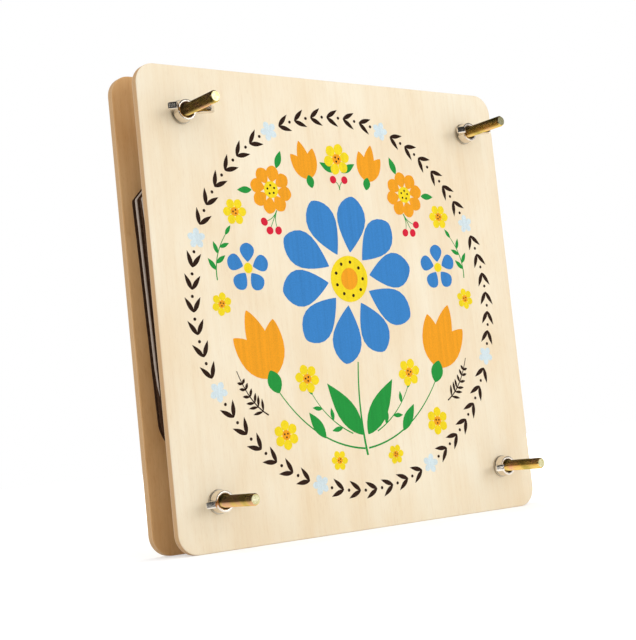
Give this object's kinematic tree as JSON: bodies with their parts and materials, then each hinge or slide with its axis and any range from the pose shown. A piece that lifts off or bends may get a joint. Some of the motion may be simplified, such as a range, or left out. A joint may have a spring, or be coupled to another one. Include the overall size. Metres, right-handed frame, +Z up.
{
  "type": "flower press",
  "caption": "Flower press: two square plywood boards clamp corrugated cards and blotting papers by corner bolts with wing nuts.",
  "frame": {"origin": "on the back board's bottom edge, midway along it and midway through the board's thickness", "axes": "+Z up the standing press, +X to the right seen from the front, -Y out of the front board's face, along the bolts"},
  "size_m": [0.2, 0.0528, 0.2],
  "materials": {
    "back_board_plywood": "sanded birch plywood, bare",
    "front_board_plywood": "sanded birch plywood with a printed floral face",
    "bolt_steel": "yellow passivated zinc plate on steel",
    "washer_steel": "bright zinc plate on steel",
    "wing_nut_metal": "bright nickel plate on a casting",
    "card": "brown kraft corrugated card",
    "blotting_paper": "uncoated absorbent paper"
  },
  "bodies": {
    "root": {"back_board": "back_board_plywood", "bolt_top_left": "bolt_steel", "bolt_top_right": "bolt_steel", "bolt_bottom_left": "bolt_steel", "bolt_bottom_right": "bolt_steel"},
    "front_board": {"front_board": "front_board_plywood", "washer_top_left": "washer_steel", "washer_top_right": "washer_steel", "washer_bottom_left": "washer_steel", "washer_bottom_right": "washer_steel"},
    "wing_nut_top_left": {"wing_nut_top_left": "wing_nut_metal"},
    "wing_nut_top_right": {"wing_nut_top_right": "wing_nut_metal"},
    "wing_nut_bottom_left": {"wing_nut_bottom_left": "wing_nut_metal"},
    "wing_nut_bottom_right": {"wing_nut_bottom_right": "wing_nut_metal"},
    "corrugated_card_1": {"corrugated_card_1": "card"},
    "blotting_paper_1a": {"blotting_paper_1a": "blotting_paper"},
    "blotting_paper_1b": {"blotting_paper_1b": "blotting_paper"},
    "corrugated_card_2": {"corrugated_card_2": "card"},
    "blotting_paper_2a": {"blotting_paper_2a": "blotting_paper"},
    "blotting_paper_2b": {"blotting_paper_2b": "blotting_paper"},
    "corrugated_card_3": {"corrugated_card_3": "card"},
    "blotting_paper_3a": {"blotting_paper_3a": "blotting_paper"},
    "blotting_paper_3b": {"blotting_paper_3b": "blotting_paper"},
    "corrugated_card_4": {"corrugated_card_4": "card"},
    "blotting_paper_4a": {"blotting_paper_4a": "blotting_paper"},
    "blotting_paper_4b": {"blotting_paper_4b": "blotting_paper"},
    "corrugated_card_5": {"corrugated_card_5": "card"}
  },
  "joints": [
    {"name": "front_board_slide", "type": "slide", "parent": "root", "child": "front_board", "axis": [0, -1, 0], "range_m": [0, 0.0208]},
    {"name": "wing_nut_top_left_spin", "type": "hinge", "parent": "front_board", "child": "wing_nut_top_left", "pos_m": [-0.08, -0.02284, 0.18], "axis": [0, -1, 0], "range_deg": [0, 9360]},
    {"name": "wing_nut_top_right_spin", "type": "hinge", "parent": "front_board", "child": "wing_nut_top_right", "pos_m": [0.08, -0.02284, 0.18], "axis": [0, -1, 0], "range_deg": [0, 9360]},
    {"name": "wing_nut_bottom_left_spin", "type": "hinge", "parent": "front_board", "child": "wing_nut_bottom_left", "pos_m": [-0.08, -0.02284, 0.02], "axis": [0, -1, 0], "range_deg": [0, 9360]},
    {"name": "wing_nut_bottom_right_spin", "type": "hinge", "parent": "front_board", "child": "wing_nut_bottom_right", "pos_m": [0.08, -0.02284, 0.02], "axis": [0, -1, 0], "range_deg": [0, 9360]},
    {"name": "corrugated_card_1_slide", "type": "slide", "parent": "root", "child": "corrugated_card_1", "axis": [0, -1, 0], "range_m": [0, 0.00347]},
    {"name": "blotting_paper_1a_slide", "type": "slide", "parent": "root", "child": "blotting_paper_1a", "axis": [0, -1, 0], "range_m": [0, 0.00347]},
    {"name": "blotting_paper_1b_slide", "type": "slide", "parent": "root", "child": "blotting_paper_1b", "axis": [0, -1, 0], "range_m": [0, 0.00693]},
    {"name": "corrugated_card_2_slide", "type": "slide", "parent": "root", "child": "corrugated_card_2", "axis": [0, -1, 0], "range_m": [0, 0.00693]},
    {"name": "blotting_paper_2a_slide", "type": "slide", "parent": "root", "child": "blotting_paper_2a", "axis": [0, -1, 0], "range_m": [0, 0.00693]},
    {"name": "blotting_paper_2b_slide", "type": "slide", "parent": "root", "child": "blotting_paper_2b", "axis": [0, -1, 0], "range_m": [0, 0.0104]},
    {"name": "corrugated_card_3_slide", "type": "slide", "parent": "root", "child": "corrugated_card_3", "axis": [0, -1, 0], "range_m": [0, 0.0104]},
    {"name": "blotting_paper_3a_slide", "type": "slide", "parent": "root", "child": "blotting_paper_3a", "axis": [0, -1, 0], "range_m": [0, 0.0104]},
    {"name": "blotting_paper_3b_slide", "type": "slide", "parent": "root", "child": "blotting_paper_3b", "axis": [0, -1, 0], "range_m": [0, 0.01387]},
    {"name": "corrugated_card_4_slide", "type": "slide", "parent": "root", "child": "corrugated_card_4", "axis": [0, -1, 0], "range_m": [0, 0.01387]},
    {"name": "blotting_paper_4a_slide", "type": "slide", "parent": "root", "child": "blotting_paper_4a", "axis": [0, -1, 0], "range_m": [0, 0.01387]},
    {"name": "blotting_paper_4b_slide", "type": "slide", "parent": "root", "child": "blotting_paper_4b", "axis": [0, -1, 0], "range_m": [0, 0.01733]},
    {"name": "corrugated_card_5_slide", "type": "slide", "parent": "root", "child": "corrugated_card_5", "axis": [0, -1, 0], "range_m": [0, 0.01733]}
  ],
  "couplings": [
    {"joint": "wing_nut_top_left_spin", "follows": "front_board_slide", "rad_per_m": 7854},
    {"joint": "wing_nut_top_right_spin", "follows": "front_board_slide", "rad_per_m": 7854},
    {"joint": "wing_nut_bottom_left_spin", "follows": "front_board_slide", "rad_per_m": 7854},
    {"joint": "wing_nut_bottom_right_spin", "follows": "front_board_slide", "rad_per_m": 7854},
    {"joint": "corrugated_card_1_slide", "follows": "front_board_slide", "ratio": 0.16667},
    {"joint": "blotting_paper_1a_slide", "follows": "front_board_slide", "ratio": 0.16667},
    {"joint": "blotting_paper_1b_slide", "follows": "front_board_slide", "ratio": 0.33333},
    {"joint": "corrugated_card_2_slide", "follows": "front_board_slide", "ratio": 0.33333},
    {"joint": "blotting_paper_2a_slide", "follows": "front_board_slide", "ratio": 0.33333},
    {"joint": "blotting_paper_2b_slide", "follows": "front_board_slide", "ratio": 0.5},
    {"joint": "corrugated_card_3_slide", "follows": "front_board_slide", "ratio": 0.5},
    {"joint": "blotting_paper_3a_slide", "follows": "front_board_slide", "ratio": 0.5},
    {"joint": "blotting_paper_3b_slide", "follows": "front_board_slide", "ratio": 0.66667},
    {"joint": "corrugated_card_4_slide", "follows": "front_board_slide", "ratio": 0.66667},
    {"joint": "blotting_paper_4a_slide", "follows": "front_board_slide", "ratio": 0.66667},
    {"joint": "blotting_paper_4b_slide", "follows": "front_board_slide", "ratio": 0.83333},
    {"joint": "corrugated_card_5_slide", "follows": "front_board_slide", "ratio": 0.83333}
  ]
}
